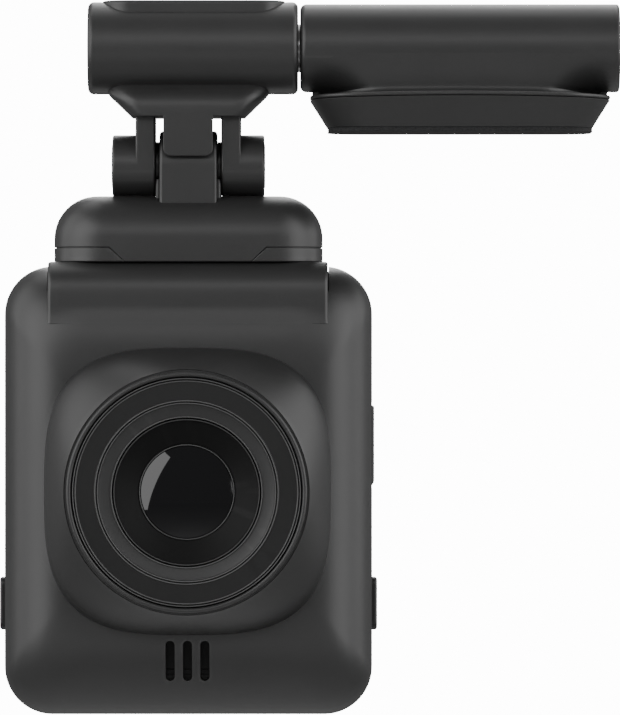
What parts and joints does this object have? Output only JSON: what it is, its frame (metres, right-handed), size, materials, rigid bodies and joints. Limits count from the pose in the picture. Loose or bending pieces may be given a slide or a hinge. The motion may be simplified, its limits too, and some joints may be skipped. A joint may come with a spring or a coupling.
{
  "type": "dash camera",
  "caption": "Dash camera with a rounded body and a recessed lens, held by magnets on a tilting head whose neck swivels on an adhesive foot.",
  "frame": {"origin": "middle of the adhesive pad's face", "axes": "+Z away from the pad into the foot, the lens looks along -Y, the camera hangs on the -X side, below the pad's plane"},
  "size_m": [0.0877, 0.0316, 0.1014],
  "materials": {
    "housing": "fine moulded texture",
    "dark_plastic": "satin",
    "pad_foam": "matt foam",
    "board": "solder mask",
    "ceramic": "fired",
    "steel": "turned",
    "nylon": "plain",
    "lead_sheath": "smooth",
    "nickel": "nickel plated",
    "gold_plating": "gold plated",
    "lens_glass": "coated",
    "filter_glass": "coated",
    "chip": "moulded",
    "spreader": "plain",
    "cell_foil": "foil",
    "screen": "glossy",
    "window": "polished"
  },
  "bodies": {
    "foot": {"foot_housing": "housing", "foot_tray": "housing", "foot_end_cap": "housing", "adhesive_pad": "pad_foam", "receiver_board": "board", "patch_antenna": "ceramic", "power_inlet": "steel", "swivel_axle": "steel", "swivel_washer": "nylon", "swivel_spring": "steel", "swivel_nut": "steel", "foot_leads": "lead_sheath"},
    "neck": {"neck_housing": "housing", "neck_cover": "housing", "neck_end_cap": "housing", "hinge_screw": "steel", "hinge_nut": "steel", "hinge_washers": "dark_plastic", "knuckle_caps": "housing"},
    "head": {"head_knuckle": "housing", "head_shell": "housing", "head_base": "housing", "head_magnets": "nickel", "contact_block": "dark_plastic", "spring_contacts": "gold_plating", "head_screws": "steel"},
    "camera": {"front_shell": "housing", "dock_housing": "housing", "rear_cover": "housing", "body_screws": "steel", "dock_magnets": "nickel", "contact_board": "board", "outer_ring": "dark_plastic", "middle_ring": "housing", "lens_hood": "dark_plastic", "lens_barrel": "dark_plastic", "front_lens": "lens_glass", "inner_lenses": "lens_glass", "infrared_filter": "filter_glass", "lens_holder": "dark_plastic", "image_sensor": "chip", "main_board": "board", "processor": "chip", "heat_spreader": "spreader", "battery": "cell_foil", "speaker": "dark_plastic", "card_socket": "steel", "side_switches": "steel", "key_board": "board", "display_panel": "screen", "display_window": "window"},
    "left_button": {"left_button": "dark_plastic"},
    "right_button": {"right_button": "dark_plastic"},
    "menu_key": {"menu_key": "dark_plastic"},
    "up_key": {"up_key": "dark_plastic"},
    "down_key": {"down_key": "dark_plastic"},
    "ok_key": {"ok_key": "dark_plastic"},
    "memory_card": {"memory_card": "dark_plastic"},
    "card_cover": {"card_cover": "housing"}
  },
  "joints": [
    {"name": "neck_swivel", "type": "hinge", "parent": "foot", "child": "neck", "pos_m": [0, 0, 0.012], "axis": [1, 0, 0], "range_deg": [-180, 180]},
    {"name": "head_tilt", "type": "hinge", "parent": "neck", "child": "head", "pos_m": [-0.0384, 0, -0.0047], "axis": [1, 0, 0], "range_deg": [-20, 60]},
    {"name": "camera_detach", "type": "slide", "parent": "head", "child": "camera", "axis": [0, 0, -1], "range_m": [0, 0.025]},
    {"name": "left_button_press", "type": "slide", "parent": "camera", "child": "left_button", "axis": [1, 0, 0], "range_m": [0, 0.0004], "stiffness_N_per_m": 1500, "springref_m": -0.0001},
    {"name": "right_button_press", "type": "slide", "parent": "camera", "child": "right_button", "axis": [-1, 0, 0], "range_m": [0, 0.0004], "stiffness_N_per_m": 1500, "springref_m": -0.0001},
    {"name": "menu_key_press", "type": "slide", "parent": "camera", "child": "menu_key", "axis": [0, -1, 0], "range_m": [0, 0.0004], "stiffness_N_per_m": 1500, "springref_m": -0.0001},
    {"name": "up_key_press", "type": "slide", "parent": "camera", "child": "up_key", "axis": [0, -1, 0], "range_m": [0, 0.0004], "stiffness_N_per_m": 1500, "springref_m": -0.0001},
    {"name": "down_key_press", "type": "slide", "parent": "camera", "child": "down_key", "axis": [0, -1, 0], "range_m": [0, 0.0004], "stiffness_N_per_m": 1500, "springref_m": -0.0001},
    {"name": "ok_key_press", "type": "slide", "parent": "camera", "child": "ok_key", "axis": [0, -1, 0], "range_m": [0, 0.0004], "stiffness_N_per_m": 1500, "springref_m": -0.0001},
    {"name": "card_slide", "type": "slide", "parent": "camera", "child": "memory_card", "axis": [1, 0, 0], "range_m": [-0.0008, 0.0012]},
    {"name": "card_cover_hinge", "type": "hinge", "parent": "camera", "child": "card_cover", "pos_m": [-0.0132, 0, -0.0491], "axis": [0, 1, 0], "range_deg": [0, 95]}
  ]
}
